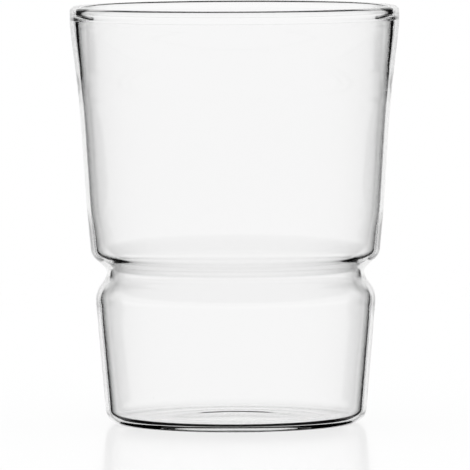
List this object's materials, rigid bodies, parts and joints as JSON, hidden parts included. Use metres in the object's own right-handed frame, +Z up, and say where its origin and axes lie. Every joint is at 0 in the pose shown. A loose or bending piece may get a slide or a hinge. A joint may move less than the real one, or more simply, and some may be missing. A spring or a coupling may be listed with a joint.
{
  "type": "tumbler",
  "caption": "Clear blown-glass tumbler with a flared upper bowl, a drawn-in waist and a tapered lower cup on a slightly pushed-up base.",
  "frame": {"origin": "middle of the resting plane under the base", "axes": "+Z up along the axis of the glass; the glass is round, so X and Y are free, and the picture looks along +Y"},
  "size_m": [0.079, 0.079, 0.1],
  "materials": {
    "clear_glass": "clear, colourless, fire-polished, with faint waviness and a few tiny seeds"
  },
  "bodies": {
    "root": {"base_disc": "clear_glass", "heel_ring": "clear_glass", "lower_cup_wall": "clear_glass", "lower_shoulder": "clear_glass", "waist_ring": "clear_glass", "stacking_step": "clear_glass", "upper_bowl_wall": "clear_glass", "rim_bead": "clear_glass"}
  },
  "joints": []
}
